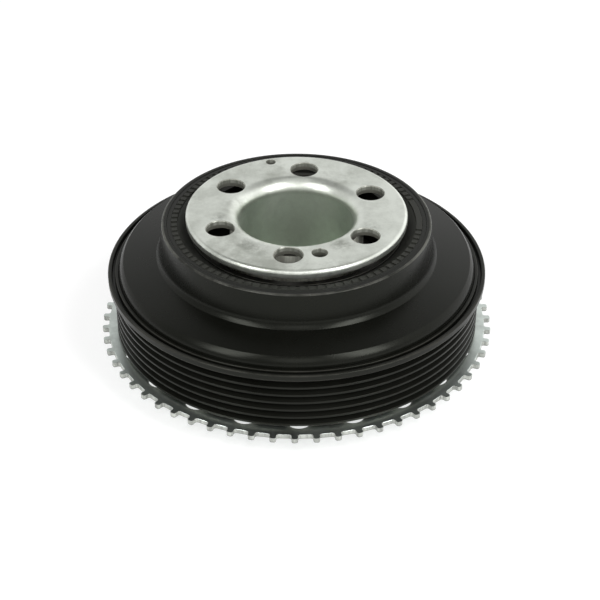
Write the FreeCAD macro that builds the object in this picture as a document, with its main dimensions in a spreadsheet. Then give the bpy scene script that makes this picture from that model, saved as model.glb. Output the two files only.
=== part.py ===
import FreeCAD, Part
import os

import Sketcher

# Decoupled crankshaft pulley: a harmonic balancer with a six-groove belt rim, a rubber decoupler,
# an inertia ring in rubber and a toothed trigger wheel. Millimetres, +Z towards the front of the
# engine, origin at the centre of the hub tube's end face, which the part rests on.

doc = FreeCAD.newDocument("harmonic_balancer")
sheet = doc.addObject("Spreadsheet::Sheet", "Sizes")

# Driving sizes
driving = {
    # crankshaft seat and seal tube
    "crank_bore_radius": 13.4,
    "crank_bolt_radius": 9.25,
    "bore_chamfer": 0.8,
    "tube_wall": 5.3,
    "tube_chamfer": 1.0,
    # hub web, labyrinth ring, rim and front spigot
    "web_height": 16.3,
    "web_thickness": 5.7,
    "bolt_land": 4.0,
    "web_step_offset": 2.2,
    "web_step_depth": 0.6,
    "seal_gap": 13.8,
    "ring_wall": 3.6,
    "ring_length": 6.5,
    "ring_chamfer": 0.4,
    "floor_rise": 3.4,
    "floor_fillet": 3.0,
    "floor_chamfer": 0.6,
    "floor_width": 9.5,
    "hub_rim_wall": 7.55,
    "hub_rim_lip": 5.4,
    "hub_rim_gap": 2.55,
    "hub_rim_length": 23.4,
    "hub_front_rise": 8.0,
    "spigot_length": 4.0,
    "spigot_wall": 13.6,
    # toothed wheel
    "wheel_height": 10.9,
    "wheel_thickness": 2.15,
    "wheel_overhang": 3.7,
    "tooth_length": 2.65,
    "tooth_width": 2.6,
    "tooth_corner": 0.95,
    "tooth_count": 58,
    "tooth_pitch_angle": 6.0,
    "first_tooth_angle": 107.0,
    "wheel_hole_radius": 4.95,
    "wheel_hole_inset": 8.85,
    "wheel_hole_count": 21,
    "wheel_hole_angle": 1.96,
    "collar_gap": 0.7,
    "collar_length": 14.1,
    "collar_bend": 3.2,
    "stake_offset": 7.6,
    "stake_tall": 1.4,
    "stake_depth": 0.8,
    "stake_spread_angle": 7.5,
    "stake_angle": -115.0,
    # flanged cup at the front
    "cup_bore_radius": 23.4,
    "cup_wall": 4.0,
    "cup_floor": 3.2,
    "cup_floor_fillet": 3.0,
    "cup_lip_fillet": 5.4,
    "flange_overhang": 1.6,
    "flange_gap": 0.7,
    "flange_thickness": 3.6,
    "flange_edge_fillet": 0.9,
    "bolt_hole_radius": 5.7,
    "bolt_circle_offset": 6.1,
    "bolt_hole_count": 6,
    "bolt_hole_angle": 30.0,
    "dowel_hole_radius": 3.1,
    "dowel_circle_offset": 5.6,
    "dowel_hole_angle": -68.6,
    "mark_hole_radius": 2.0,
    "mark_hole_inset": 4.0,
    "mark_hole_angle": 111.0,
    # torsional damper
    "damper_rubber_wall": 2.5,
    "damper_rubber_inset": 3.4,
    "damper_rubber_length": 19.5,
    "inertia_ring_wall": 6.7,
    "inertia_ring_inset": 3.3,
    "inertia_ring_length": 22.6,
    # plain bearings of the pulley
    "bush_wall": 2.1,
    "bush_inset": 0.6,
    "slide_ring_inner_gap": 0.9,
    "slide_ring_outer_gap": 0.3,
    # belt pulley
    "pulley_wheel_gap": 1.05,
    "pulley_wall": 5.9,
    "rib_tip_width": 0.9,
    "groove_pitch": 3.56,
    "groove_depth": 2.55,
    "groove_bottom_width": 0.8,
    "first_groove_inset": 2.42,
    "last_groove_inset": 5.88,
    "rim_rise": 2.35,
    "rim_width": 2.4,
    "rim_wall": 1.6,
    "front_lip_wall": 1.4,
    "front_groove_width": 1.4,
    "front_groove_depth": 2.2,
    "rim_edge_chamfer": 0.4,
    # pressed carrier between the pulley and the decoupler
    "carrier_seat_depth": 3.6,
    "carrier_thickness": 2.4,
    "carrier_edge_fillet": 3.4,
    "carrier_slope": 0.164,
    "slide_ring_thickness": 1.46,
    "drum_fillet": 2.6,
    "drum_flare": 1.55,
    "drum_wall": 2.0,
    "drum_length": 14.2,
    "drum_edge_fillet": 0.6,
    # decoupler
    "outer_sleeve_wall": 1.8,
    "outer_sleeve_inset": 0.2,
    "inner_sleeve_wall": 2.6,
    "inner_sleeve_lip": 0.7,
    "decoupler_rubber_wall": 7.6,
    "decoupler_gap": 3.5,
    "ridge_inset": 0.1,
    "ridge_width": 2.5,
    "ridge_step": 0.8,
    "rubber_slope_depth": 2.9,
    "notch_width": 1.4,
    "notch_depth": 0.45,
    "notch_overrun": 0.5,
    "notch_count": 84,
    "notch_pitch_angle": 4.0,
    "first_notch_angle": 24.0,
}

# Sizes that follow from the driving ones, from the axis outwards and from the rear to the front
derived = {
    # hub
    "bore_mouth_radius": "crank_bore_radius + bore_chamfer",
    "tube_radius": "crank_bore_radius + tube_wall",
    "tube_end_radius": "tube_radius - tube_chamfer",
    "ring_inner_radius": "tube_radius + seal_gap",
    "web_step_radius": "ring_inner_radius - web_step_offset",
    "web_step_height": "web_height + web_step_depth",
    "web_front": "web_height + web_thickness",
    "crank_bore_depth": "web_front - bolt_land",
    "ring_radius": "ring_inner_radius + ring_wall",
    "ring_end_inner_radius": "ring_inner_radius + ring_chamfer",
    "ring_end_outer_radius": "ring_radius - ring_chamfer",
    "ring_end_height": "web_height - ring_length",
    "ring_chamfer_height": "ring_end_height + ring_chamfer",
    "floor_height": "web_height + floor_rise",
    "floor_radius": "ring_radius + floor_width",
    "floor_edge_radius": "floor_radius - floor_chamfer",
    "floor_edge_height": "floor_height + floor_chamfer",
    "collar_bore_radius": "floor_radius + collar_gap",
    "collar_radius": "collar_bore_radius + wheel_thickness",
    "collar_end": "wheel_height + collar_length",
    "hub_rim_radius": "collar_radius + hub_rim_wall",
    "hub_rim_inner_radius": "hub_rim_radius - hub_rim_lip",
    "hub_rim_height": "wheel_front + hub_rim_gap",
    "hub_rim_front": "hub_rim_height + hub_rim_length",
    "hub_front_height": "web_front + hub_front_rise",
    "spigot_height": "hub_front_height + spigot_length",
    # torsional damper and bearings
    "damper_rubber_radius": "hub_rim_radius + damper_rubber_wall",
    "damper_rubber_height": "hub_rim_height + damper_rubber_inset",
    "damper_rubber_front": "damper_rubber_height + damper_rubber_length",
    "inertia_ring_radius": "damper_rubber_radius + inertia_ring_wall",
    "inertia_ring_height": "hub_rim_height + inertia_ring_inset",
    "inertia_ring_front": "inertia_ring_height + inertia_ring_length",
    "pulley_bore_radius": "inertia_ring_radius + bush_wall",
    "bush_height": "pulley_height + bush_inset",
    "slide_ring_inner_radius": "damper_rubber_radius + slide_ring_inner_gap",
    "slide_ring_outer_radius": "pulley_bore_radius - slide_ring_outer_gap",
    "slide_ring_outer_height": "inertia_ring_front + slide_ring_thickness",
    "slide_ring_inner_height": "slide_ring_outer_height"
                               " + carrier_slope * (slide_ring_outer_radius - slide_ring_inner_radius)",
    # belt pulley
    "groove_bottom_radius": "pulley_bore_radius + pulley_wall",
    "rib_radius": "groove_bottom_radius + groove_depth",
    "pulley_height": "wheel_front + pulley_wheel_gap",
    "first_groove_height": "pulley_height + first_groove_inset",
    "rim_front": "last_groove_height + last_groove_inset",
    "rim_rear": "rim_front - rim_width",
    "rim_radius": "rib_radius + rim_rise",
    "rim_edge_radius": "rim_radius - rim_edge_chamfer",
    "rim_edge_height": "rim_front - rim_edge_chamfer",
    "rim_inner_radius": "rim_radius - rim_wall",
    "front_lip_radius": "rim_inner_radius - front_groove_width",
    "front_groove_bottom": "rim_front - front_groove_depth",
    # toothed wheel
    "wheel_front": "wheel_height + wheel_thickness",
    "wheel_root_radius": "rib_radius + wheel_overhang",
    "wheel_hole_circle": "wheel_root_radius - wheel_hole_inset",
    "collar_inner_bend": "collar_bend - wheel_thickness",
    "tooth_tip_radius": "wheel_root_radius + tooth_length",
    "tooth_foot_radius": "wheel_root_radius - tooth_length",
    "tooth_run_angle": "(tooth_count - 1) * tooth_pitch_angle",
    "stake_height": "wheel_height + stake_offset",
    "stake_bottom": "stake_height - stake_tall / 2",
    "stake_top": "stake_height + stake_tall / 2",
    "stake_inner_radius": "collar_bore_radius - stake_depth",
    "stake_outer_radius": "collar_bore_radius + stake_depth",
    # front cup
    "cup_radius": "cup_bore_radius + cup_wall",
    "cup_floor_height": "web_front + cup_floor",
    "flange_radius": "inner_sleeve_radius + flange_overhang",
    "flange_rear": "ridge_height + flange_gap",
    "flange_height": "flange_rear + flange_thickness",
    "bolt_circle": "cup_radius + bolt_circle_offset",
    "dowel_hole_circle": "cup_radius + dowel_circle_offset",
    "mark_hole_circle": "flange_radius - mark_hole_inset",
    # decoupler and carrier
    "inner_sleeve_bore": "cup_radius + spigot_wall",
    "inner_sleeve_radius": "inner_sleeve_bore + inner_sleeve_wall",
    "inner_sleeve_front": "rubber_inner_height + inner_sleeve_lip",
    "outer_sleeve_bore": "inner_sleeve_radius + decoupler_rubber_wall",
    "drum_bore_radius": "outer_sleeve_bore + outer_sleeve_wall",
    "drum_lip_radius": "drum_bore_radius + drum_wall",
    "drum_base_radius": "drum_lip_radius + drum_flare",
    "carrier_radius": "front_lip_radius - front_lip_wall",
    "carrier_seat_height": "rim_front - carrier_seat_depth",
    "skirt_inner_radius": "carrier_radius - carrier_thickness",
    "carrier_drop": "carrier_thickness * sqrt(1 + carrier_slope ^ 2)",
    "carrier_inner_fillet": "carrier_edge_fillet - carrier_thickness",
    "skirt_inner_height": "slide_ring_outer_height"
                          " - carrier_slope * (skirt_inner_radius - slide_ring_outer_radius)",
    "carrier_edge_height": "skirt_inner_height + carrier_drop - carrier_slope * carrier_thickness",
    "carrier_flange_height": "carrier_edge_height + carrier_slope * (carrier_radius - drum_base_radius)",
    "drum_bore_height": "skirt_inner_height + carrier_slope * (skirt_inner_radius - drum_bore_radius)",
    "drum_height": "carrier_flange_height + drum_length",
    "drum_inner_fillet": "drum_fillet + carrier_thickness",
    "decoupler_height": "hub_rim_front + decoupler_gap",
    "outer_sleeve_height": "drum_height - outer_sleeve_inset",
    "ridge_height": "drum_height - ridge_inset",
    "ridge_inner_radius": "outer_sleeve_bore - ridge_width",
    "ridge_foot_height": "ridge_height - ridge_step",
    "rubber_inner_height": "ridge_foot_height - rubber_slope_depth",
    "notch_inner_radius": "ridge_inner_radius - notch_overrun",
    "notch_outer_radius": "outer_sleeve_bore + notch_overrun",
    "notch_run_angle": "(notch_count - 1) * notch_pitch_angle",
}


def fill_sheet():
    row = 1
    for alias, value in driving.items():
        sheet.set("A%d" % row, alias)
        sheet.set("B%d" % row, str(value))
        sheet.setAlias("B%d" % row, alias)
        row += 1
    for alias in derived:
        sheet.set("A%d" % row, alias)
        sheet.setAlias("B%d" % row, alias)
        row += 1
    row = len(driving) + 1
    for formula in derived.values():
        sheet.set("B%d" % row, "=" + formula)
        row += 1
    doc.recompute()


def size(alias):
    return float(sheet.get(alias))


def bind(item, path, alias):
    item.setExpression(path, "Sizes." + alias)


def origin_plane(body, role):
    return [item for item in body.Origin.OriginFeatures if item.Role == role][0]


def place_sketch(body, name, role):
    sketch = body.newObject("Sketcher::SketchObject", name)
    sketch.AttachmentSupport = (origin_plane(body, role), [""])
    sketch.MapMode = "FlatFace"
    return sketch


def hold_point(sketch, line, end, across, up):
    # a point of the section is held by its radius and its height
    for kind, alias in (("DistanceX", across), ("DistanceY", up)):
        if alias is None:
            sketch.addConstraint(Sketcher.Constraint("PointOnObject", line, end, -1))
            continue
        rule = sketch.addConstraint(Sketcher.Constraint(kind, -1, 1, line, end, size(alias)))
        bind(sketch, "Constraints[%d]" % rule, alias)


def section(body, name, corners):
    sketch = place_sketch(body, name, "XZ_Plane")
    points = [FreeCAD.Vector(size(across), size(up) if up else 0, 0) for across, up in corners]
    count = len(points)
    for i in range(count):
        sketch.addGeometry(Part.LineSegment(points[i], points[(i + 1) % count]), False)
    for i in range(count):
        sketch.addConstraint(Sketcher.Constraint("Coincident", i, 2, (i + 1) % count, 1))
    for i, (across, up) in enumerate(corners):
        hold_point(sketch, i, 1, across, up)
    return sketch


def turned_body(node, corners):
    body = doc.addObject("PartDesign::Body", node)
    body.Label = node
    sketch = section(body, node + "_section", corners)
    turn = body.newObject("PartDesign::Revolution", node + "_turned")
    turn.Profile = sketch
    turn.ReferenceAxis = (sketch, ["V_Axis"])
    turn.Angle = 360
    sketch.Visibility = False
    doc.recompute()
    return body


def round_corner(body, across, up, radius):
    # the fillet goes on the circle that passes through the section's corner
    names = []
    for number, edge in enumerate(body.Shape.Edges, 1):
        if edge.Curve.TypeId != "Part::GeomCircle":
            continue
        off_radius = abs(edge.Curve.Radius - size(across))
        off_height = abs(edge.Curve.Center.z - size(up))
        if off_radius < 0.001 and off_height < 0.001:
            names.append("Edge%d" % number)
    base = body.Tip
    fillet = body.newObject("PartDesign::Fillet", body.Label + "_round")
    fillet.Base = (base, names)
    bind(fillet, "Radius", radius)
    doc.recompute()


def turn_sketch(sketch, axis, angle):
    sketch.AttachmentOffset = FreeCAD.Placement(FreeCAD.Vector(), FreeCAD.Rotation(axis, size(angle)))
    sketch.setExpression("AttachmentOffset.Rotation.Angle", "Sizes." + angle + " * 1 deg")


def repeat(body, feature, sketch, count, run_angle=None):
    pattern = body.newObject("PartDesign::PolarPattern", feature.Name + "_row")
    pattern.Originals = [feature]
    pattern.Axis = (sketch, ["N_Axis"])
    pattern.Angle = 360
    if run_angle:
        bind(pattern, "Angle", run_angle)
    bind(pattern, "Occurrences", count)
    body.Tip = pattern
    doc.recompute()


def need_less(body, before, name):
    if not body.Shape.Volume < before - 0.1:
        raise RuntimeError(name + " cut nothing")


def drill(body, name, circle, angle, radius, count=None):
    before = body.Shape.Volume
    sketch = place_sketch(body, name + "_sketch", "XY_Plane")
    turn_sketch(sketch, FreeCAD.Vector(0, 0, 1), angle)
    centre = FreeCAD.Vector(size(circle), 0, 0)
    sketch.addGeometry(Part.Circle(centre, FreeCAD.Vector(0, 0, 1), size(radius)), False)
    hold_point(sketch, 0, 3, circle, None)
    rule = sketch.addConstraint(Sketcher.Constraint("Radius", 0, size(radius)))
    bind(sketch, "Constraints[%d]" % rule, radius)
    pocket = body.newObject("PartDesign::Pocket", name)
    pocket.Profile = sketch
    pocket.Type = "ThroughAll"
    pocket.Reversed = True
    sketch.Visibility = False
    doc.recompute()
    if count:
        repeat(body, pocket, sketch, count)
    need_less(body, before, name)


# Hub: seal tube, web, labyrinth ring, groove for the wheel's collar, rim and front spigot
def make_hub():
    hub = turned_body("hub", [
        ("bore_mouth_radius", None),
        ("tube_end_radius", None),
        ("tube_radius", "tube_chamfer"),
        ("tube_radius", "web_height"),
        ("web_step_radius", "web_height"),
        ("web_step_radius", "web_step_height"),
        ("ring_inner_radius", "web_step_height"),
        ("ring_inner_radius", "ring_chamfer_height"),
        ("ring_end_inner_radius", "ring_end_height"),
        ("ring_end_outer_radius", "ring_end_height"),
        ("ring_radius", "ring_chamfer_height"),
        ("ring_radius", "floor_height"),
        ("floor_edge_radius", "floor_height"),
        ("floor_radius", "floor_edge_height"),
        ("floor_radius", "collar_end"),
        ("collar_radius", "collar_end"),
        ("collar_radius", "hub_rim_height"),
        ("hub_rim_radius", "hub_rim_height"),
        ("hub_rim_radius", "hub_rim_front"),
        ("hub_rim_inner_radius", "hub_rim_front"),
        ("hub_rim_inner_radius", "hub_front_height"),
        ("inner_sleeve_bore", "hub_front_height"),
        ("inner_sleeve_bore", "spigot_height"),
        ("cup_radius", "spigot_height"),
        ("cup_radius", "web_front"),
        ("crank_bolt_radius", "web_front"),
        ("crank_bolt_radius", "crank_bore_depth"),
        ("crank_bore_radius", "crank_bore_depth"),
        ("crank_bore_radius", "bore_chamfer"),
    ])
    round_corner(hub, "ring_radius", "floor_height", "floor_fillet")


# Front cup: drawn from sheet, with a flange that carries six bolt holes
def make_front_cup():
    cup = turned_body("front_cup", [
        ("crank_bolt_radius", "web_front"),
        ("cup_radius", "web_front"),
        ("cup_radius", "flange_rear"),
        ("flange_radius", "flange_rear"),
        ("flange_radius", "flange_height"),
        ("cup_bore_radius", "flange_height"),
        ("cup_bore_radius", "cup_floor_height"),
        ("crank_bolt_radius", "cup_floor_height"),
    ])
    round_corner(cup, "cup_bore_radius", "flange_height", "cup_lip_fillet")
    round_corner(cup, "flange_radius", "flange_height", "flange_edge_fillet")
    round_corner(cup, "cup_bore_radius", "cup_floor_height", "cup_floor_fillet")
    drill(cup, "bolt_hole", "bolt_circle", "bolt_hole_angle", "bolt_hole_radius", "bolt_hole_count")
    drill(cup, "dowel_hole", "dowel_hole_circle", "dowel_hole_angle", "dowel_hole_radius")
    drill(cup, "mark_hole", "mark_hole_circle", "mark_hole_angle", "mark_hole_radius")


# One tooth: a stub with two rounded corners, drawn along the sketch's own X axis
def draw_tooth(sketch):
    foot = size("tooth_foot_radius")
    tip = size("tooth_tip_radius")
    half = size("tooth_width") / 2
    corner = size("tooth_corner")
    up = FreeCAD.Vector(0, 0, 1)
    low_arc = Part.Circle(FreeCAD.Vector(tip - corner, corner - half, 0), up, corner)
    high_arc = Part.Circle(FreeCAD.Vector(tip - corner, half - corner, 0), up, corner)
    quarter = 1.5707963
    sketch.addGeometry([
        Part.LineSegment(FreeCAD.Vector(foot, -half, 0), FreeCAD.Vector(tip - corner, -half, 0)),
        Part.ArcOfCircle(low_arc, -quarter, 0),
        Part.LineSegment(FreeCAD.Vector(tip, corner - half, 0), FreeCAD.Vector(tip, half - corner, 0)),
        Part.ArcOfCircle(high_arc, 0, quarter),
        Part.LineSegment(FreeCAD.Vector(tip - corner, half, 0), FreeCAD.Vector(foot, half, 0)),
        Part.LineSegment(FreeCAD.Vector(foot, half, 0), FreeCAD.Vector(foot, -half, 0)),
    ], False)
    for line, follower in ((0, 1), (1, 2), (2, 3), (3, 4)):
        sketch.addConstraint(Sketcher.Constraint("Tangent", line, 2, follower, 1))
    sketch.addConstraint(Sketcher.Constraint("Coincident", 4, 2, 5, 1))
    sketch.addConstraint(Sketcher.Constraint("Coincident", 5, 2, 0, 1))
    sketch.addConstraint(Sketcher.Constraint("Vertical", 2))
    sketch.addConstraint(Sketcher.Constraint("Symmetric", 5, 1, 5, 2, -1))
    sketch.addConstraint(Sketcher.Constraint("Equal", 1, 3))
    for rule, alias in (
        (Sketcher.Constraint("Radius", 1, corner), "tooth_corner"),
        (Sketcher.Constraint("DistanceY", 5, 2, 5, 1, 2 * half), "tooth_width"),
        (Sketcher.Constraint("DistanceX", -1, 1, 5, 1, foot), "tooth_foot_radius"),
        (Sketcher.Constraint("DistanceX", -1, 1, 2, 1, tip), "tooth_tip_radius"),
    ):
        number = sketch.addConstraint(rule)
        bind(sketch, "Constraints[%d]" % number, alias)


# Trigger wheel: flanged sheet ring with a collar, teeth with a two-tooth gap, and round holes
def make_trigger_wheel():
    wheel = turned_body("trigger_wheel", [
        ("collar_bore_radius", "wheel_height"),
        ("wheel_root_radius", "wheel_height"),
        ("wheel_root_radius", "wheel_front"),
        ("collar_radius", "wheel_front"),
        ("collar_radius", "collar_end"),
        ("collar_bore_radius", "collar_end"),
    ])
    round_corner(wheel, "collar_bore_radius", "wheel_height", "collar_bend")
    round_corner(wheel, "collar_radius", "wheel_front", "collar_inner_bend")

    sketch = place_sketch(wheel, "tooth_sketch", "XY_Plane")
    turn_sketch(sketch, FreeCAD.Vector(0, 0, 1), "first_tooth_angle")
    bind(sketch, "AttachmentOffset.Base.z", "wheel_height")
    draw_tooth(sketch)
    tooth = wheel.newObject("PartDesign::Pad", "tooth")
    tooth.Profile = sketch
    bind(tooth, "Length", "wheel_thickness")
    doc.recompute()
    repeat(wheel, tooth, sketch, "tooth_count", "tooth_run_angle")
    drill(wheel, "wheel_hole", "wheel_hole_circle", "wheel_hole_angle", "wheel_hole_radius",
          "wheel_hole_count")

    before = wheel.Shape.Volume
    stake = section(wheel, "stake_section", [
        ("stake_inner_radius", "stake_bottom"),
        ("stake_outer_radius", "stake_bottom"),
        ("stake_outer_radius", "stake_top"),
        ("stake_inner_radius", "stake_top"),
    ])
    turn_sketch(stake, FreeCAD.Vector(0, 1, 0), "stake_angle")
    groove = wheel.newObject("PartDesign::Groove", "stake")
    groove.Profile = stake
    groove.ReferenceAxis = (stake, ["V_Axis"])
    groove.Midplane = True
    bind(groove, "Angle", "stake_spread_angle")
    doc.recompute()
    need_less(wheel, before, "stake")


# Torsional damper: inertia ring on a rubber ring around the hub's rim
def make_damper():
    turned_body("damper_rubber", [
        ("hub_rim_radius", "damper_rubber_height"),
        ("damper_rubber_radius", "damper_rubber_height"),
        ("damper_rubber_radius", "damper_rubber_front"),
        ("hub_rim_radius", "damper_rubber_front"),
    ])
    turned_body("inertia_ring", [
        ("damper_rubber_radius", "inertia_ring_height"),
        ("inertia_ring_radius", "inertia_ring_height"),
        ("inertia_ring_radius", "inertia_ring_front"),
        ("damper_rubber_radius", "inertia_ring_front"),
    ])


# Plain bearings that let the pulley swing on the inertia ring
def make_bearings():
    turned_body("bearing_bush", [
        ("inertia_ring_radius", "bush_height"),
        ("pulley_bore_radius", "bush_height"),
        ("pulley_bore_radius", "inertia_ring_front"),
        ("inertia_ring_radius", "inertia_ring_front"),
    ])
    turned_body("slide_ring", [
        ("slide_ring_inner_radius", "inertia_ring_front"),
        ("slide_ring_outer_radius", "inertia_ring_front"),
        ("slide_ring_outer_radius", "slide_ring_outer_height"),
        ("slide_ring_inner_radius", "slide_ring_inner_height"),
    ])


# Belt pulley: grooves numbered from the rear, each with its own four heights in the sheet
def groove_corners(number):
    low = "groove_%d_low" % number
    bottom_low = "groove_%d_bottom_low" % number
    bottom_high = "groove_%d_bottom_high" % number
    high = "groove_%d_high" % number
    return [
        ("rib_radius", low),
        ("groove_bottom_radius", bottom_low),
        ("groove_bottom_radius", bottom_high),
        ("rib_radius", high),
    ]


def add_groove_heights(count):
    derived["last_groove_height"] = "first_groove_height + %d * groove_pitch" % (count - 1)
    for number in range(1, count + 1):
        middle = "first_groove_height + %d * groove_pitch" % (number - 1)
        half_mouth = "(groove_pitch - rib_tip_width) / 2"
        derived["groove_%d_low" % number] = middle + " - " + half_mouth
        derived["groove_%d_bottom_low" % number] = middle + " - groove_bottom_width / 2"
        derived["groove_%d_bottom_high" % number] = middle + " + groove_bottom_width / 2"
        derived["groove_%d_high" % number] = middle + " + " + half_mouth


def make_belt_pulley():
    grooves = []
    for number in range(1, groove_count + 1):
        grooves += groove_corners(number)
    turned_body("belt_pulley", [
        ("pulley_bore_radius", "pulley_height"),
        ("rib_radius", "pulley_height"),
    ] + grooves + [
        ("rim_radius", "rim_rear"),
        ("rim_radius", "rim_edge_height"),
        ("rim_edge_radius", "rim_front"),
        ("rim_inner_radius", "rim_front"),
        ("rim_inner_radius", "front_groove_bottom"),
        ("front_lip_radius", "front_groove_bottom"),
        ("front_lip_radius", "rim_front"),
        ("carrier_radius", "rim_front"),
        ("carrier_radius", "carrier_seat_height"),
        ("pulley_bore_radius", "carrier_seat_height"),
    ])


# Pulley carrier: pressed drum and flange, its skirt seated in the pulley
def make_pulley_carrier():
    carrier = turned_body("pulley_carrier", [
        ("drum_bore_radius", "drum_height"),
        ("drum_lip_radius", "drum_height"),
        ("drum_base_radius", "carrier_flange_height"),
        ("carrier_radius", "carrier_edge_height"),
        ("carrier_radius", "carrier_seat_height"),
        ("skirt_inner_radius", "carrier_seat_height"),
        ("skirt_inner_radius", "skirt_inner_height"),
        ("drum_bore_radius", "drum_bore_height"),
    ])
    round_corner(carrier, "drum_base_radius", "carrier_flange_height", "drum_fillet")
    round_corner(carrier, "carrier_radius", "carrier_edge_height", "carrier_edge_fillet")
    round_corner(carrier, "skirt_inner_radius", "skirt_inner_height", "carrier_inner_fillet")
    round_corner(carrier, "drum_bore_radius", "drum_bore_height", "drum_inner_fillet")
    round_corner(carrier, "drum_lip_radius", "drum_height", "drum_edge_fillet")


# Decoupler: two sleeves with rubber between them, ridged at the front
def make_decoupler():
    turned_body("decoupler_outer_sleeve", [
        ("outer_sleeve_bore", "decoupler_height"),
        ("drum_bore_radius", "decoupler_height"),
        ("drum_bore_radius", "outer_sleeve_height"),
        ("outer_sleeve_bore", "outer_sleeve_height"),
    ])
    turned_body("decoupler_inner_sleeve", [
        ("inner_sleeve_bore", "hub_front_height"),
        ("inner_sleeve_radius", "hub_front_height"),
        ("inner_sleeve_radius", "inner_sleeve_front"),
        ("inner_sleeve_bore", "inner_sleeve_front"),
    ])
    rubber = turned_body("decoupler_rubber", [
        ("inner_sleeve_radius", "decoupler_height"),
        ("outer_sleeve_bore", "decoupler_height"),
        ("outer_sleeve_bore", "ridge_height"),
        ("ridge_inner_radius", "ridge_height"),
        ("ridge_inner_radius", "ridge_foot_height"),
        ("inner_sleeve_radius", "rubber_inner_height"),
    ])
    before = rubber.Shape.Volume
    sketch = place_sketch(rubber, "notch_sketch", "XY_Plane")
    turn_sketch(sketch, FreeCAD.Vector(0, 0, 1), "first_notch_angle")
    bind(sketch, "AttachmentOffset.Base.z", "ridge_height")
    near = size("notch_inner_radius")
    far = size("notch_outer_radius")
    half = size("notch_width") / 2
    corners = [
        FreeCAD.Vector(near, -half, 0),
        FreeCAD.Vector(far, -half, 0),
        FreeCAD.Vector(far, half, 0),
        FreeCAD.Vector(near, half, 0),
    ]
    for i in range(4):
        sketch.addGeometry(Part.LineSegment(corners[i], corners[(i + 1) % 4]), False)
    for i in range(4):
        sketch.addConstraint(Sketcher.Constraint("Coincident", i, 2, (i + 1) % 4, 1))
    sketch.addConstraint(Sketcher.Constraint("Horizontal", 0))
    sketch.addConstraint(Sketcher.Constraint("Symmetric", 0, 1, 2, 2, -1))
    sketch.addConstraint(Sketcher.Constraint("Symmetric", 0, 2, 1, 2, -1))
    for rule, alias in (
        (Sketcher.Constraint("DistanceY", 1, 1, 1, 2, 2 * half), "notch_width"),
        (Sketcher.Constraint("DistanceX", -1, 1, 0, 1, near), "notch_inner_radius"),
        (Sketcher.Constraint("DistanceX", -1, 1, 0, 2, far), "notch_outer_radius"),
    ):
        number = sketch.addConstraint(rule)
        bind(sketch, "Constraints[%d]" % number, alias)
    notch = rubber.newObject("PartDesign::Pocket", "notch")
    notch.Profile = sketch
    bind(notch, "Length", "notch_depth")
    doc.recompute()
    repeat(rubber, notch, sketch, "notch_count", "notch_run_angle")
    need_less(rubber, before, "notch")


def check_and_write():
    for item in doc.Objects:
        if "Invalid" in item.State or "Error" in item.State:
            raise RuntimeError(item.Name + " failed: " + ", ".join(item.State))
    bodies = [item for item in doc.Objects if item.TypeId == "PartDesign::Body"]
    for body in bodies:
        if body.Shape.isNull() or not body.Shape.isValid() or len(body.Shape.Solids) != 1:
            raise RuntimeError(body.Label + " has no valid single solid")
    os.makedirs("parts", exist_ok=True)
    for body in bodies:
        body.Shape.exportStep(os.path.join("parts", body.Label + ".step"))
        print(body.Label, "volume %.1f mm3" % body.Shape.Volume)


groove_count = 6
add_groove_heights(groove_count)
fill_sheet()
make_hub()
make_front_cup()
make_trigger_wheel()
make_damper()
make_bearings()
make_belt_pulley()
make_pulley_carrier()
make_decoupler()
check_and_write()
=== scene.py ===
from math import atan2, ceil, cos, degrees, pi, radians, sin, tan, tau

import bmesh
import bpy
from mathutils import Matrix, Vector


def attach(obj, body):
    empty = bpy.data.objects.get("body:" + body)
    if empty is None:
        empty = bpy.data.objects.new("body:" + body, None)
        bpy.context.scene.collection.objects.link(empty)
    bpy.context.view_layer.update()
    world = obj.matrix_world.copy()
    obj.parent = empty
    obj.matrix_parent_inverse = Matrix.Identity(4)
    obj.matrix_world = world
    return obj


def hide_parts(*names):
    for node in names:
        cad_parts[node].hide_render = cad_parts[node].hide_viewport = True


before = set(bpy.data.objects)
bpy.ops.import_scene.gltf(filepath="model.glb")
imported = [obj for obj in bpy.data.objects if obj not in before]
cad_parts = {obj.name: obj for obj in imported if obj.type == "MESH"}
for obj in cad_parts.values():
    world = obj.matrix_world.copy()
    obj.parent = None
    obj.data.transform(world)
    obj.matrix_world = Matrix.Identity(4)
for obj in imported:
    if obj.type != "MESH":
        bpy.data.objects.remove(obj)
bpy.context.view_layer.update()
scene = bpy.context.scene
print("frame loaded")


# Materials, each from noise in the object's own coordinates

def newMaterial(name, colour, metallic, roughness, specular=0.5):
    material = bpy.data.materials.new(name)
    material.use_nodes = True
    shader = material.node_tree.nodes["Principled BSDF"]
    shader.inputs["Base Color"].default_value = (*colour, 1)
    shader.inputs["Metallic"].default_value = metallic
    shader.inputs["Roughness"].default_value = roughness
    shader.inputs["Specular IOR Level"].default_value = specular
    material.diffuse_color = (*colour, 1)
    return material


def place(material):
    tree = material.node_tree
    return tree.nodes.new("ShaderNodeTexCoord").outputs["Object"]


def calculate(material, operation, *values):
    tree = material.node_tree
    node = tree.nodes.new("ShaderNodeMath")
    node.operation = operation
    for socket, value in zip(node.inputs, values):
        if isinstance(value, (int, float)):
            socket.default_value = value
        else:
            tree.links.new(value, socket)
    return node.outputs[0]


def radiusAndHeight(material):
    tree = material.node_tree
    split = tree.nodes.new("ShaderNodeSeparateXYZ")
    tree.links.new(place(material), split.inputs[0])
    flat = tree.nodes.new("ShaderNodeCombineXYZ")
    tree.links.new(split.outputs["X"], flat.inputs["X"])
    tree.links.new(split.outputs["Y"], flat.inputs["Y"])
    length = tree.nodes.new("ShaderNodeVectorMath")
    length.operation = "LENGTH"
    tree.links.new(flat.outputs[0], length.inputs[0])
    return length.outputs["Value"], split.outputs["Z"]


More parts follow.
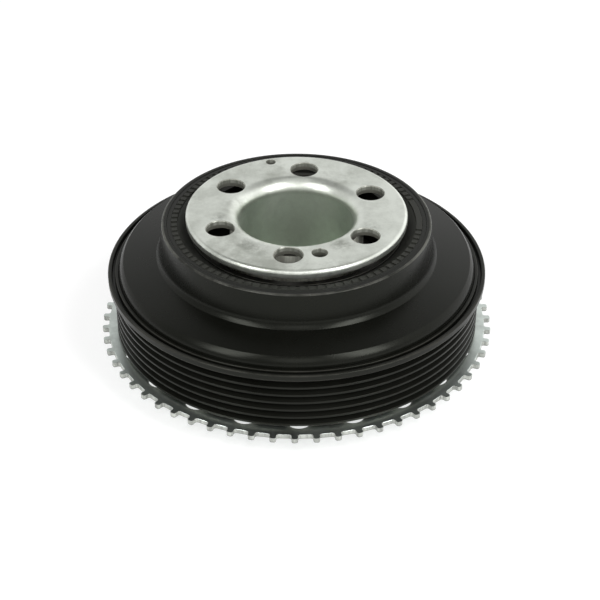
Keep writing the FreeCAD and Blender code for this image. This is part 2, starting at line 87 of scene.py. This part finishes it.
def turnedPlace(material, fineness):
    # radius and height only, so noise read there makes rings around the axis
    tree = material.node_tree
    radius, height = radiusAndHeight(material)
    joined = tree.nodes.new("ShaderNodeCombineXYZ")
    for socket, target in ((radius, "X"), (height, "Y")):
        tree.links.new(calculate(material, "MULTIPLY", socket, fineness), joined.inputs[target])
    return joined.outputs[0]


def noise(material, where, scale, detail=4, roughness=0.6):
    tree = material.node_tree
    node = tree.nodes.new("ShaderNodeTexNoise")
    node.inputs["Scale"].default_value = scale
    node.inputs["Detail"].default_value = detail
    node.inputs["Roughness"].default_value = roughness
    tree.links.new(where, node.inputs["Vector"])
    return node.outputs["Fac"]


def spread(material, value, low, high, fromLow=0.3, fromHigh=0.7):
    tree = material.node_tree
    node = tree.nodes.new("ShaderNodeMapRange")
    node.inputs["From Min"].default_value = fromLow
    node.inputs["From Max"].default_value = fromHigh
    node.inputs["To Min"].default_value = low
    node.inputs["To Max"].default_value = high
    tree.links.new(value, node.inputs["Value"])
    return node.outputs["Result"]


def mixColours(material, factor, first, second):
    tree = material.node_tree
    node = tree.nodes.new("ShaderNodeMix")
    node.data_type = "RGBA"
    tree.links.new(factor, node.inputs["Factor"])
    for socket, value in ((node.inputs[6], first), (node.inputs[7], second)):
        if isinstance(value, tuple):
            socket.default_value = (*value, 1)
        else:
            tree.links.new(value, socket)
    return node.outputs[2]


def drive(material, name, value):
    shader = material.node_tree.nodes["Principled BSDF"]
    material.node_tree.links.new(value, shader.inputs[name])


def addBump(material, layers):
    tree = material.node_tree
    last = None
    for height, strength, distance in layers:
        bump = tree.nodes.new("ShaderNodeBump")
        bump.inputs["Strength"].default_value = strength
        bump.inputs["Distance"].default_value = distance
        tree.links.new(height, bump.inputs["Height"])
        if last:
            tree.links.new(last, bump.inputs["Normal"])
        last = bump.outputs["Normal"]
    drive(material, "Normal", last)


def makeZinc(name, bright, dull, grimy, smooth, rough):
    material = newMaterial(name, bright, 1, smooth)
    where = place(material)
    clouds = noise(material, where, 70, 7, 0.72)
    fine = noise(material, where, 420, 3)
    smudges = noise(material, where, 30, 5, 0.7)
    tone = mixColours(material, spread(material, clouds, 0, 1, 0.38, 0.62), bright, dull)
    stained = mixColours(material, spread(material, smudges, 0, 0.9, 0.53, 0.66), tone, grimy)
    drive(material, "Base Color", stained)
    drive(material, "Roughness", spread(material, clouds, smooth, rough))
    addBump(material, [(clouds, 0.12, 0.0004), (fine, 0.15, 0.00006)])
    return material


def addSmudges(material, spots, height, colour):
    # each spot is (x, y, radius), a soft dirty patch on the face at that height, all in millimetres
    shader = material.node_tree.nodes["Principled BSDF"]
    where = place(material)
    streaks = spread(material, noise(material, where, 160, 5, 0.7), 0, 1, 0.4, 0.62)
    for x, y, size in spots:
        distance = material.node_tree.nodes.new("ShaderNodeVectorMath")
        distance.operation = "DISTANCE"
        distance.inputs[1].default_value = (x / 1000, y / 1000, height / 1000)
        material.node_tree.links.new(where, distance.inputs[0])
        near = spread(material, distance.outputs["Value"], 0.8, 0, 0.2 * size / 1000, size / 1000)
        clean = shader.inputs["Base Color"].links[0].from_socket
        dirty = calculate(material, "MULTIPLY", near, streaks)
        drive(material, "Base Color", mixColours(material, dirty, clean, colour))


def makeTurnedSteel(name, colour, dark, smooth, rough):
    material = newMaterial(name, colour, 1, smooth)
    rings = noise(material, turnedPlace(material, 2600), 1, 2)
    clouds = noise(material, place(material), 60, 5)
    drive(material, "Base Color", mixColours(material, spread(material, clouds, 0, 1), colour, dark))
    drive(material, "Roughness", spread(material, rings, smooth, rough))
    addBump(material, [(rings, 0.2, 0.00005)])
    return material


def makeCoat(name, colour, dusty, smooth, rough, specular):
    # paint, rubber or plastic with faint clouds and a fine grain
    material = newMaterial(name, colour, 0, smooth, specular)
    shader = material.node_tree.nodes["Principled BSDF"]
    shader.inputs["Specular Tint"].default_value = (0.96, 1, 0.88, 1)
    where = place(material)
    clouds = noise(material, where, 38, 5)
    grain = noise(material, where, 900, 2)
    drive(material, "Base Color", mixColours(material, spread(material, clouds, 0, 1), colour, dusty))
    drive(material, "Roughness", spread(material, clouds, smooth, rough))
    addBump(material, [(grain, 0.12, 0.00003)])
    return material


def makeStreakedZinc(name, bright, dark, lowerColour, lowerHeight):
    # streaks along the height: the punch's marks on punched walls, painted highlights on the cup's back;
    # below a height in millimetres the colour changes to a third one
    material = newMaterial(name, bright, 0.4, 0.4)
    squeeze = material.node_tree.nodes.new("ShaderNodeMapping")
    squeeze.inputs["Scale"].default_value = (1, 1, 0.06)
    material.node_tree.links.new(place(material), squeeze.inputs["Vector"])
    streaks = noise(material, squeeze.outputs["Vector"], 650, 5)
    streaked = mixColours(material, spread(material, streaks, 0, 1, 0.38, 0.62), bright, dark)
    _, height = radiusAndHeight(material)
    aboveMask = spread(material, height, 1, 0, (lowerHeight - 0.2) / 1000, (lowerHeight + 0.2) / 1000)
    drive(material, "Base Color", mixColours(material, aboveMask, streaked, lowerColour))
    drive(material, "Roughness", spread(material, streaks, 0.3, 0.5))
    addBump(material, [(streaks, 0.2, 0.0001)])
    return material


def addPaintedEdgeHighlight(material, highlightBands, highlightColour, highlightAmount):
    # each band is (inner radius, outer radius, low, high) in millimetres, where a patchy painted highlight
    # lightens the coat and makes it metallic
    tree = material.node_tree
    shader = tree.nodes["Principled BSDF"]
    radius, height = radiusAndHeight(material)
    patches = noise(material, place(material), 32, 6, 0.7)
    highlightMask = None
    for inner, outer, low, high in highlightBands:
        ring = calculate(material, "COMPARE", radius, (inner + outer) / 2000, (outer - inner) / 2000)
        layer = calculate(material, "COMPARE", height, (low + high) / 2000, (high - low) / 2000)
        both = calculate(material, "MULTIPLY", ring, layer)
        highlightMask = calculate(material, "ADD", highlightMask, both) if highlightMask else both
    patchyHighlight = spread(material, patches, 0.15 * highlightAmount, highlightAmount, 0.42, 0.6)
    paintedHighlight = calculate(material, "MULTIPLY", highlightMask, patchyHighlight)
    coat = shader.inputs["Base Color"].links[0].from_socket
    drive(material, "Base Color", mixColours(material, paintedHighlight, coat, highlightColour))
    drive(material, "Metallic", paintedHighlight)


zincPlate = makeZinc(
    "zinc_plate", bright=(0.73, 0.76, 0.7), dull=(0.57, 0.595, 0.54), grimy=(0.42, 0.44, 0.39),
    smooth=0.31, rough=0.43,
)
wheelZinc = makeZinc(
    "wheel_zinc", bright=(0.69, 0.75, 0.71), dull=(0.59, 0.64, 0.605), grimy=(0.46, 0.5, 0.47),
    smooth=0.3, rough=0.42,
)
turnedSteel = makeTurnedSteel(
    "turned_steel", colour=(0.4, 0.38, 0.33), dark=(0.28, 0.26, 0.22), smooth=0.3, rough=0.45
)
darkSteel = makeTurnedSteel(
    "dark_steel", colour=(0.2, 0.195, 0.175), dark=(0.12, 0.115, 0.1), smooth=0.35, rough=0.5
)
# near-black steel for the inner sleeve, which shows only in the gap under the front cup: painted shade
sleeveShadeSteel = makeTurnedSteel(
    "sleeve_painted_shade", colour=(0.06, 0.06, 0.053), dark=(0.03, 0.03, 0.026), smooth=0.4, rough=0.55
)
castIron = makeTurnedSteel(
    "cast_iron", colour=(0.22, 0.22, 0.22), dark=(0.15, 0.15, 0.15), smooth=0.45, rough=0.6
)
carrierCoat = makeCoat(
    "carrier_coat", colour=(0.0026, 0.0028, 0.002), dusty=(0.0044, 0.0046, 0.0036),
    smooth=0.22, rough=0.3, specular=0.16,
)
pulleyCoat = makeCoat(
    "pulley_coat", colour=(0.0042, 0.0044, 0.0034), dusty=(0.0065, 0.0067, 0.0054),
    smooth=0.26, rough=0.34, specular=0.17,
)
blackRubber = makeCoat(
    "black_rubber", colour=(0.011, 0.0112, 0.0095), dusty=(0.02, 0.0202, 0.0175),
    smooth=0.5, rough=0.65, specular=0.28,
)
# a darker, rougher copy of the plate's zinc for the cup's bore and floor: painted shade in the bore
cupInsideShaded = makeZinc(
    "cup_inside_shaded", bright=(0.58, 0.63, 0.56), dull=(0.5, 0.54, 0.475), grimy=(0.42, 0.455, 0.4),
    smooth=0.4, rough=0.52,
)
# the cup's hole walls are darker below 63.7 mm
cupHoles = makeStreakedZinc(
    "cup_holes", bright=(0.34, 0.35, 0.305), dark=(0.15, 0.155, 0.13), lowerColour=(0.13, 0.13, 0.11),
    lowerHeight=63.7,
)
# the cup's back, seen through the holes and under the flange, is lighter, half-diffuse zinc with streaks:
# painted light and painted highlights on a wall that lamp light barely reaches
cupBackPaintedLight = makeStreakedZinc(
    "cup_back_painted_light", bright=(0.74, 0.75, 0.66), dark=(0.5, 0.5, 0.43), lowerColour=(0.5, 0.5, 0.43),
    lowerHeight=21,
)
wheelHoles = makeStreakedZinc(
    "wheel_holes", bright=(0.5, 0.52, 0.48), dark=(0.27, 0.28, 0.26), lowerColour=(0.27, 0.28, 0.26),
    lowerHeight=11.4,
)
flangeSpots = [(-12.5, -30, 6), (-18, -27, 5), (20.5, -24.5, 6.5), (31, -9, 4), (-31, -8, 4)]
addSmudges(zincPlate, flangeSpots, height=65.5, colour=(0.2, 0.21, 0.18))
# painted highlight along the drum's lip edge
drumEdgeHighlight = [(54.2, 55.2, 60.8, 61.4)]
addPaintedEdgeHighlight(carrierCoat, drumEdgeHighlight, highlightColour=(0.2, 0.2, 0.18), highlightAmount=0.45)
# faint painted highlights along the pulley rim's edges
rimEdgeHighlights = [(77.5, 78.2, 37.4, 38.1), (77.4, 78.2, 39.8, 40.3), (74.8, 75.5, 39.9, 40.3)]
addPaintedEdgeHighlight(pulleyCoat, rimEdgeHighlights, highlightColour=(0.16, 0.155, 0.135), highlightAmount=0.15)
palePlastic = makeCoat(
    "pale_plastic", colour=(0.74, 0.71, 0.64), dusty=(0.66, 0.63, 0.56),
    smooth=0.5, rough=0.6, specular=0.5,
)
print("materials made")


# Shapes: a section in millimetres is turned about the Z axis

def arcPoints(before, here, after, rounding):
    toBack = (before - here).normalized()
    toNext = (after - here).normalized()
    half = toBack.angle(toNext) / 2
    centre = here + (toBack + toNext).normalized() * rounding / sin(half)
    start = here + toBack * rounding / tan(half) - centre
    end = here + toNext * rounding / tan(half) - centre
    startAngle = atan2(start.y, start.x)
    turn = (atan2(end.y, end.x) - startAngle + pi) % tau - pi
    steps = max(2, ceil(abs(degrees(turn)) / 13))
    angles = [startAngle + turn * step / steps for step in range(steps + 1)]
    return [centre + Vector((cos(a), sin(a))) * rounding for a in angles]


def sectionPoints(corners):
    # each corner is (radius, height) or (radius, height, rounding)
    points = []
    count = len(corners)
    for i, corner in enumerate(corners):
        here = Vector(corner[:2])
        if len(corner) == 2:
            points.append(here)
            continue
        before = Vector(corners[i - 1][:2])
        after = Vector(corners[(i + 1) % count][:2])
        points += arcPoints(before, here, after, corner[2])
    return points


def turned(corners, segments=256, closed=True):
    shape = bmesh.new()
    points = sectionPoints(corners)
    ring = [shape.verts.new((point.x / 1000, 0, point.y / 1000)) for point in points]
    first = 0 if closed else 1
    edges = [shape.edges.new((ring[i - 1], ring[i])) for i in range(first, len(ring))]
    bmesh.ops.spin(
        shape, geom=ring + edges, cent=(0, 0, 0), axis=(0, 0, 1), angle=tau, steps=segments,
        use_merge=True,
    )
    bmesh.ops.remove_doubles(shape, verts=shape.verts, dist=1e-7)
    bmesh.ops.recalc_face_normals(shape, faces=shape.faces)
    return shape


def addObject(name, shape, material):
    mesh = bpy.data.meshes.new(name)
    mesh.materials.append(material)
    shape.to_mesh(mesh)
    shape.free()
    piece = bpy.data.objects.new(name, mesh)
    scene.collection.objects.link(piece)
    return piece


def combine(piece, shape, operation, material):
    # the material is that of the faces which the tool leaves
    tool = addObject(piece.name + "_tool", shape, material)
    modifier = piece.modifiers.new("tool", "BOOLEAN")
    modifier.operation = operation
    modifier.solver = "EXACT"
    modifier.material_mode = "TRANSFER"
    modifier.object = tool
    bpy.context.view_layer.update()
    evaluated = piece.evaluated_get(bpy.context.evaluated_depsgraph_get())
    result = bpy.data.meshes.new_from_object(evaluated)
    piece.modifiers.clear()
    piece.data = result
    bpy.data.objects.remove(tool)


def finishPiece(piece, node):
    piece.data.shade_smooth()
    piece.data.set_sharp_from_angle(angle=radians(32))
    normals = piece.modifiers.new("normals", "WEIGHTED_NORMAL")
    normals.keep_sharp = True
    normals.weight = 80
    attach(piece, "root")
    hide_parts(node)
    print(node, "made,", len(piece.data.polygons), "faces")


def repeated(makeOne, angles):
    # makeOne gives a shape on the +X side, which is copied to each angle
    whole = bmesh.new()
    for angle in angles:
        one = makeOne()
        turn = Matrix.Rotation(radians(angle), 3, "Z")
        bmesh.ops.rotate(one, verts=one.verts, cent=(0, 0, 0), matrix=turn)
        mesh = bpy.data.meshes.new("one")
        one.to_mesh(mesh)
        one.free()
        whole.from_mesh(mesh)
        bpy.data.meshes.remove(mesh)
    return whole


def drillShape(circle, radius, low, high, flare, segments=48):
    # the flare at both ends leaves a small chamfer on the hole's edges
    shape = turned([
        (0, low - 1),
        (radius + flare + 1, low - 1),
        (radius, low + flare),
        (radius, high - flare),
        (radius + flare + 1, high + 1),
        (0, high + 1),
    ], segments, closed=False)
    bmesh.ops.translate(shape, verts=shape.verts, vec=(circle / 1000, 0, 0))
    return shape


def toothShape(inner, root, tip, width, low, high, corner, fillet, edge):
    # the plan of one tooth, widened at its foot, is raised to the sheet's thickness and bevelled
    side = width / 2
    wide = side + fillet + 0.2
    plan = sectionPoints([
        (inner, -wide), (root, -wide), (root, -side, fillet), (tip, -side, corner),
        (tip, side, corner), (root, side, fillet), (root, wide), (inner, wide),
    ])
    shape = bmesh.new()
    foot = [shape.verts.new((point.x / 1000, point.y / 1000, low / 1000)) for point in plan]
    raised = bmesh.ops.extrude_face_region(shape, geom=[shape.faces.new(foot)])["geom"]
    top = [item for item in raised if isinstance(item, bmesh.types.BMVert)]
    bmesh.ops.translate(shape, verts=top, vec=(0, 0, (high - low) / 1000))
    bmesh.ops.recalc_face_normals(shape, faces=shape.faces)
    rims = [item for item in shape.edges if abs(item.verts[0].co.z - item.verts[1].co.z) < 1e-9]
    bmesh.ops.bevel(
        shape, geom=rims, offset=edge / 1000, segments=2, profile=0.5, affect="EDGES",
        clamp_overlap=True, material=-1,
    )
    return shape


def block(length, width, height, centre):
    shape = bmesh.new()
    bmesh.ops.create_cube(shape, size=0.001)
    bmesh.ops.scale(shape, verts=shape.verts, vec=(length, width, height))
    bmesh.ops.translate(shape, verts=shape.verts, vec=[value / 1000 for value in centre])
    return shape


# Hub
hub = {
    "tube": 18.7, "bore": 13.4, "boreDepth": 18.0, "boltHole": 9.25,
    "webRear": 16.3, "webFront": 22.0, "webStep": 30.3, "stepRise": 0.6,
    "ringInner": 32.5, "ringOuter": 36.1, "ringEnd": 9.8,
    "floor": 19.7, "floorOuter": 45.6, "collarEnd": 25.0, "collar": 48.45,
    "rimRear": 15.6, "rim": 56.0, "rimInner": 50.6, "rimFront": 39.0,
    "front": 30.0, "spigot": 41.0, "spigotFront": 34.0, "cup": 27.4,
}
hubPiece = addObject("hub_turned", turned([
    (hub["bore"], 0, 0.8),
    (hub["tube"], 0, 1.0),
    (hub["tube"], hub["webRear"], 0.5),
    (hub["webStep"], hub["webRear"], 0.2),
    (hub["webStep"], hub["webRear"] + hub["stepRise"], 0.2),
    (hub["ringInner"], hub["webRear"] + hub["stepRise"], 0.4),
    (hub["ringInner"], hub["ringEnd"], 0.4),
    (hub["ringOuter"], hub["ringEnd"], 0.4),
    (hub["ringOuter"], hub["floor"], 3.0),
    (hub["floorOuter"], hub["floor"], 0.6),
    (hub["floorOuter"], hub["collarEnd"]),
    (hub["collar"], hub["collarEnd"]),
    (hub["collar"], hub["rimRear"], 0.3),
    (hub["rim"], hub["rimRear"], 0.3),
    (hub["rim"], hub["rimFront"], 0.3),
    (hub["rimInner"], hub["rimFront"], 0.3),
    (hub["rimInner"], hub["front"], 0.5),
    (hub["spigot"], hub["front"]),
    (hub["spigot"], hub["spigotFront"], 0.4),
    (hub["cup"], hub["spigotFront"], 0.4),
    (hub["cup"], hub["webFront"]),
    (hub["boltHole"], hub["webFront"], 0.2),
    (hub["boltHole"], hub["boreDepth"], 0.3),
    (hub["bore"], hub["boreDepth"], 0.5),
]), turnedSteel)
finishPiece(hubPiece, "hub")

# Front cup
cup = {
    "bore": 23.4, "outside": 27.4, "floorLow": 22.0, "floorHigh": 25.2, "boltHole": 9.25,
    "flange": 45.2, "top": 65.5, "rear": 61.9,
    "flangeEdge": 1.5, "mouth": 5.4, "floorCorner": 3.0,
    # distance from the axis, radius and chamfer, then the angles
    "holes": (33.5, 5.7, 0.35, [30, 90, 150, 210, 270, 330]),
    "dowel": (33.0, 3.1, 0.2, [-68.6]),
    "index": (41.2, 2.0, 0.15, [111]),
}
cupShape = turned([
    (cup["boltHole"], cup["floorLow"], 0.2),
    (cup["outside"], cup["floorLow"], 0.8),
    (cup["outside"], cup["rear"], 1.0),
    (cup["flange"], cup["rear"], 0.5),
    (cup["flange"], cup["top"], cup["flangeEdge"]),
    (cup["bore"], cup["top"], cup["mouth"]),
    (cup["bore"], cup["floorHigh"], cup["floorCorner"]),
    (cup["boltHole"], cup["floorHigh"], 0.3),
])
# the faces behind the flange get the painted-light zinc, the bore's faces the painted-shade zinc
paintedLightSlot, shadedInsideSlot = 1, 2
for face in cupShape.faces:
    centre = face.calc_center_median() * 1000
    if centre.z < cup["rear"] + 0.1 and centre.xy.length > cup["outside"] - 0.5:
        face.material_index = paintedLightSlot
    elif centre.z < cup["top"] - 5 and centre.xy.length < cup["bore"] + 0.2:
        face.material_index = shadedInsideSlot
cupPiece = addObject("front_cup_pressed", cupShape, zincPlate)
cupPiece.data.materials.append(cupBackPaintedLight)
cupPiece.data.materials.append(cupInsideShaded)
for circle, radius, flare, angles in (cup["holes"], cup["dowel"], cup["index"]):
    drills = repeated(lambda: drillShape(circle, radius, cup["rear"], cup["top"], flare), angles)
    combine(cupPiece, drills, "DIFFERENCE", cupHoles)
finishPiece(cupPiece, "front_cup")

# Trigger wheel
wheel = {
    "rear": 10.9, "front": 13.05, "root": 79.45, "tip": 82.1, "segments": 360,
    "toothWidth": 2.6, "toothCorner": 0.95, "toothFillet": 0.8, "toothEdge": 0.28,
    "toothAngles": [107 + 6 * i for i in range(58)],
    "holes": (70.6, 4.95, 0.15), "holeAngles": [1.96 + 360 / 21 * i for i in range(21)],
    "collarBore": 46.3, "collar": 48.45, "collarEnd": 25.0, "bend": 3.2, "bendFront": 1.05,
    "stake": (-115, 18.5, 6.1, 1.4, 0.8),
}
wheelPiece = addObject("trigger_wheel_pressed", turned([
    (wheel["collarBore"], wheel["rear"], wheel["bend"]),
    (wheel["root"], wheel["rear"], 0.3),
    (wheel["root"], wheel["front"], 0.3),
    (wheel["collar"], wheel["front"], wheel["bendFront"]),
    (wheel["collar"], wheel["collarEnd"], 0.2),
    (wheel["collarBore"], wheel["collarEnd"], 0.2),
], wheel["segments"]), wheelZinc)
# the teeth start inside the ring and are a hair thinner than it, so that no faces coincide
toothShapes = repeated(lambda: toothShape(
    wheel["root"] - 2, wheel["root"] - 0.06, wheel["tip"], wheel["toothWidth"],
    wheel["rear"] + 0.01, wheel["front"] - 0.01,
    wheel["toothCorner"], wheel["toothFillet"], wheel["toothEdge"],
), wheel["toothAngles"])
combine(wheelPiece, toothShapes, "UNION", wheelZinc)
holeCircle, holeRadius, holeFlare = wheel["holes"]
combine(wheelPiece, repeated(
    lambda: drillShape(holeCircle, holeRadius, wheel["rear"], wheel["front"], holeFlare),
    wheel["holeAngles"],
), "DIFFERENCE", wheelHoles)
stakeAngle, stakeHeight, stakeLong, stakeTall, stakeDeep = wheel["stake"]
combine(wheelPiece, repeated(
    lambda: block(2 * stakeDeep, stakeLong, stakeTall, (wheel["collarBore"], 0, stakeHeight)),
    [stakeAngle],
), "DIFFERENCE", wheelZinc)
# the teeth's side faces get the darker, less metallic hole-wall zinc: partly the duller punched edge, partly
# painted shade for their darker reflections
edgeSlot = wheelPiece.data.materials.find(wheelHoles.name)
for face in wheelPiece.data.polygons:
    if face.center.xy.length * 1000 > wheel["root"] - 0.3 and abs(face.normal.z) < 0.5:
        face.material_index = edgeSlot  # the cut edges of the teeth are duller
finishPiece(wheelPiece, "trigger_wheel")

# Belt pulley
pulley = {
    "bore": 67.3, "rear": 14.1, "rib": 75.75, "ribTip": 0.9, "pitch": 3.56, "depth": 2.55,
    "grooves": 6, "firstGroove": 16.52, "grooveBottom": 0.8, "mouthRounding": 0.22, "bottomRounding": 0.2,
    "rim": 78.1, "rimRear": 37.8, "front": 40.2, "rimInner": 76.5, "lip": 75.1, "frontGroove": 38.0,
    "seatRadius": 73.7, "seat": 36.6,
}
mouth = (pulley["pitch"] - pulley["ribTip"]) / 2
bottom = pulley["grooveBottom"] / 2
grooveCorners = []
for groove in range(pulley["grooves"]):
    middle = pulley["firstGroove"] + groove * pulley["pitch"]
    grooveCorners += [
        (pulley["rib"], middle - mouth, pulley["mouthRounding"]),
        (pulley["rib"] - pulley["depth"], middle - bottom, pulley["bottomRounding"]),
        (pulley["rib"] - pulley["depth"], middle + bottom, pulley["bottomRounding"]),
        (pulley["rib"], middle + mouth, pulley["mouthRounding"]),
    ]
pulleyShape = turned([
    (pulley["bore"], pulley["rear"], 0.3),
    (pulley["rib"], pulley["rear"], 0.4),
] + grooveCorners + [
    (pulley["rim"], pulley["rimRear"], 0.5),
    (pulley["rim"], pulley["front"], 0.45),
    (pulley["rimInner"], pulley["front"], 0.3),
    (pulley["rimInner"], pulley["frontGroove"], 0.3),
    (pulley["lip"], pulley["frontGroove"], 0.3),
    (pulley["lip"], pulley["front"], 0.3),
    (pulley["seatRadius"], pulley["front"], 0.3),
    (pulley["seatRadius"], pulley["seat"]),
    (pulley["bore"], pulley["seat"], 0.2),
])
bareSlot = 1
for face in pulleyShape.faces:
    if face.calc_center_median().z * 1000 < pulley["rear"] + 0.35:
        face.material_index = bareSlot
pulleyPiece = addObject("belt_pulley_turned", pulleyShape, pulleyCoat)
pulleyPiece.data.materials.append(darkSteel)
finishPiece(pulleyPiece, "belt_pulley")

# Pulley carrier
carrier = {
    "drumBore": 53.0, "lip": 55.0, "top": 61.3, "drumBase": 56.55, "flange": 47.1, "slope": 0.164,
    "outer": 73.7, "thickness": 2.4, "seat": 36.6, "footInside": 5.0, "bendInside": 1.0,
    # the arcs: where the foot ends on the flange, then each arc's rounding and its points' angles
    "footRadius": 57.85, "footRounding": 5.0, "footAngles": range(6, 49, 7),
    "bendRounding": 6.0, "bendAngles": range(50, -1, -5),
}


def flangeHeight(radius):
    return carrier["flange"] - carrier["slope"] * (radius - carrier["drumBase"])


# the drum's foot and the outer bend are arcs that meet the flange in a slight crease
footEnd = radians(carrier["footAngles"][-1])
footPoints = [
    (
        carrier["footRadius"] + carrier["footRounding"] * (cos(footEnd) - cos(radians(angle))),
        flangeHeight(carrier["footRadius"]) + carrier["footRounding"] * (sin(footEnd) - sin(radians(angle))),
    )
    for angle in carrier["footAngles"]
]
bendStart = radians(carrier["bendAngles"][0])
bendRadius = carrier["outer"] - carrier["bendRounding"] * (1 - cos(bendStart))
bendPoints = [
    (
        carrier["outer"] - carrier["bendRounding"] * (1 - cos(radians(angle))),
        flangeHeight(bendRadius) - carrier["bendRounding"] * (sin(bendStart) - sin(radians(angle))),
    )
    for angle in carrier["bendAngles"]
]
drop = carrier["thickness"] * (1 + carrier["slope"] ** 2) ** 0.5
skirtInner = carrier["outer"] - carrier["thickness"]
carrierPiece = addObject("pulley_carrier_pressed", turned([
    (carrier["drumBore"], carrier["top"], 0.2),
    (carrier["lip"], carrier["top"], 0.7),
] + footPoints + bendPoints + [
    (carrier["outer"], carrier["seat"], 0.2),
    (skirtInner, carrier["seat"], 0.2),
    (skirtInner, flangeHeight(skirtInner) - drop, carrier["bendInside"]),
    (carrier["drumBore"], flangeHeight(carrier["drumBore"]) - drop, carrier["footInside"]),
]), carrierCoat)
finishPiece(carrierPiece, "pulley_carrier")

# Decoupler
decoupler = {
    "outer": 53.0, "outerBore": 51.2, "inner": 43.6, "innerBore": 41.0,
    "rear": 42.5, "outerTop": 61.1, "innerRear": 30.0, "innerTop": 58.2,
    "ridgeTop": 61.2, "ridgeInner": 48.7, "ridgeFoot": 60.4, "slopeFoot": 57.5,
    "notchWidth": 1.4, "notchDepth": 0.45, "notchAngles": [24 + 4 * i for i in range(84)],
}
outerSleeve = addObject("decoupler_outer_sleeve_turned", turned([
    (decoupler["outerBore"], decoupler["rear"], 0.3),
    (decoupler["outer"], decoupler["rear"], 0.3),
    (decoupler["outer"], decoupler["outerTop"], 0.25),
    (decoupler["outerBore"], decoupler["outerTop"], 0.25),
]), carrierCoat)
finishPiece(outerSleeve, "decoupler_outer_sleeve")
innerSleeve = addObject("decoupler_inner_sleeve_turned", turned([
    (decoupler["innerBore"], decoupler["innerRear"], 0.3),
    (decoupler["inner"], decoupler["innerRear"], 0.3),
    (decoupler["inner"], decoupler["innerTop"], 0.3),
    (decoupler["innerBore"], decoupler["innerTop"], 0.3),
]), sleeveShadeSteel)
finishPiece(innerSleeve, "decoupler_inner_sleeve")
rubberPiece = addObject("decoupler_rubber_moulded", turned([
    (decoupler["inner"], decoupler["rear"], 0.5),
    (decoupler["outerBore"], decoupler["rear"], 0.5),
    (decoupler["outerBore"], decoupler["ridgeTop"], 0.2),
    (decoupler["ridgeInner"], decoupler["ridgeTop"], 0.2),
    (decoupler["ridgeInner"], decoupler["ridgeFoot"], 0.2),
    (decoupler["inner"], decoupler["slopeFoot"]),
]), blackRubber)
notchLong = decoupler["outerBore"] - decoupler["ridgeInner"] + 1
notchRadius = (decoupler["outerBore"] + decoupler["ridgeInner"]) / 2
combine(rubberPiece, repeated(lambda: block(
    notchLong, decoupler["notchWidth"], 2 * decoupler["notchDepth"],
    (notchRadius, 0, decoupler["ridgeTop"]),
), decoupler["notchAngles"]), "DIFFERENCE", blackRubber)
finishPiece(rubberPiece, "decoupler_rubber")

# Inner rings that stay as packed
for node, material in (
    ("damper_rubber", blackRubber),
    ("inertia_ring", castIron),
    ("bearing_bush", palePlastic),
    ("slide_ring", palePlastic),
):
    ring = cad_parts[node]
    ring.data.materials.clear()
    ring.data.materials.append(material)
print("pieces done")


# Floor, light and camera

def makeFloor():
    shape = bmesh.new()
    bmesh.ops.create_circle(shape, cap_ends=True, radius=3, segments=96)
    material = newMaterial("floor", (0.55, 0.55, 0.55), 0, 0.9, 0.1)
    # what is seen or mirrored of it is white, and its light on the object stays plain
    path = material.node_tree.nodes.new("ShaderNodeLightPath")
    rays = calculate(material, "ADD", path.outputs["Is Camera Ray"], path.outputs["Is Glossy Ray"])
    rays = calculate(material, "ADD", rays, path.outputs["Is Transmission Ray"])
    shader = material.node_tree.nodes["Principled BSDF"]
    shader.inputs["Emission Color"].default_value = (1, 1, 1, 1)
    drive(material, "Emission Strength", calculate(material, "MULTIPLY", rays, 0.5))
    addObject("floor", shape, material)


def makeWorld():
    # white around the horizon, dim overhead and in front, as in a light tent with an open front
    world = bpy.data.worlds.new("studio")
    scene.world = world
    world.use_nodes = True
    tree = world.node_tree
    back = tree.nodes["Background"]
    coordinate = tree.nodes.new("ShaderNodeTexCoord")
    split = tree.nodes.new("ShaderNodeSeparateXYZ")
    tree.links.new(coordinate.outputs["Generated"], split.inputs[0])
    up = spread(world, split.outputs["Z"], 0.93, 0.2, 0.6, 0.82)
    right = spread(world, split.outputs["X"], 1, 1.5, 0.02, 0.3)
    front = spread(world, split.outputs["Y"], 0.5, 1, -0.4, 0.2)
    sides = calculate(world, "MULTIPLY", right, front)
    back.inputs["Color"].default_value = (1, 1, 1, 1)
    tree.links.new(calculate(world, "MULTIPLY", up, sides), back.inputs["Strength"])


def addPanel(name, position, size, power):
    light = bpy.data.lights.new(name, "AREA")
    light.shape = "RECTANGLE"
    light.size, light.size_y = size
    light.energy = power
    lamp = bpy.data.objects.new(name, light)
    lamp.location = position
    toTarget = Vector((0, 0, 0.04)) - Vector(position)
    lamp.rotation_euler = toTarget.to_track_quat("-Z", "Y").to_euler()
    scene.collection.objects.link(lamp)


def addCamera():
    view = {
        "elevation": 35.277, "azimuth": -84.5, "distance": 0.6644, "aimHeight": 0.0109,
        "lens": 93.44, "sensor": 36, "shiftX": 0.0057, "shiftY": 0.0333,
    }
    data = bpy.data.cameras.new("camera")
    camera = bpy.data.objects.new("camera", data)
    scene.collection.objects.link(camera)
    elevation = radians(view["elevation"])
    azimuth = radians(view["azimuth"])
    back = Vector((cos(elevation) * cos(azimuth), cos(elevation) * sin(azimuth), sin(elevation)))
    camera.location = Vector((0, 0, view["aimHeight"])) + back * view["distance"]
    camera.rotation_euler = (-back).to_track_quat("-Z", "Y").to_euler()
    data.sensor_width = view["sensor"]
    data.lens = view["lens"]
    data.shift_x = view["shiftX"]
    data.shift_y = view["shiftY"]
    scene.camera = camera


makeFloor()
makeWorld()
addPanel("overhead", position=(0, -0.05, 1.1), size=(0.5, 0.75), power=0.8)
addPanel("front_left", position=(-0.6, -0.75, 0.75), size=(0.38, 0.9), power=7.5)
addPanel("front_right", position=(0.72, -0.62, 0.75), size=(0.38, 0.9), power=10)
addPanel("front", position=(0.1, -1.05, 0.7), size=(0.5, 0.6), power=1.5)
addCamera()
scene.view_settings.view_transform = "Standard"
print("stage set")
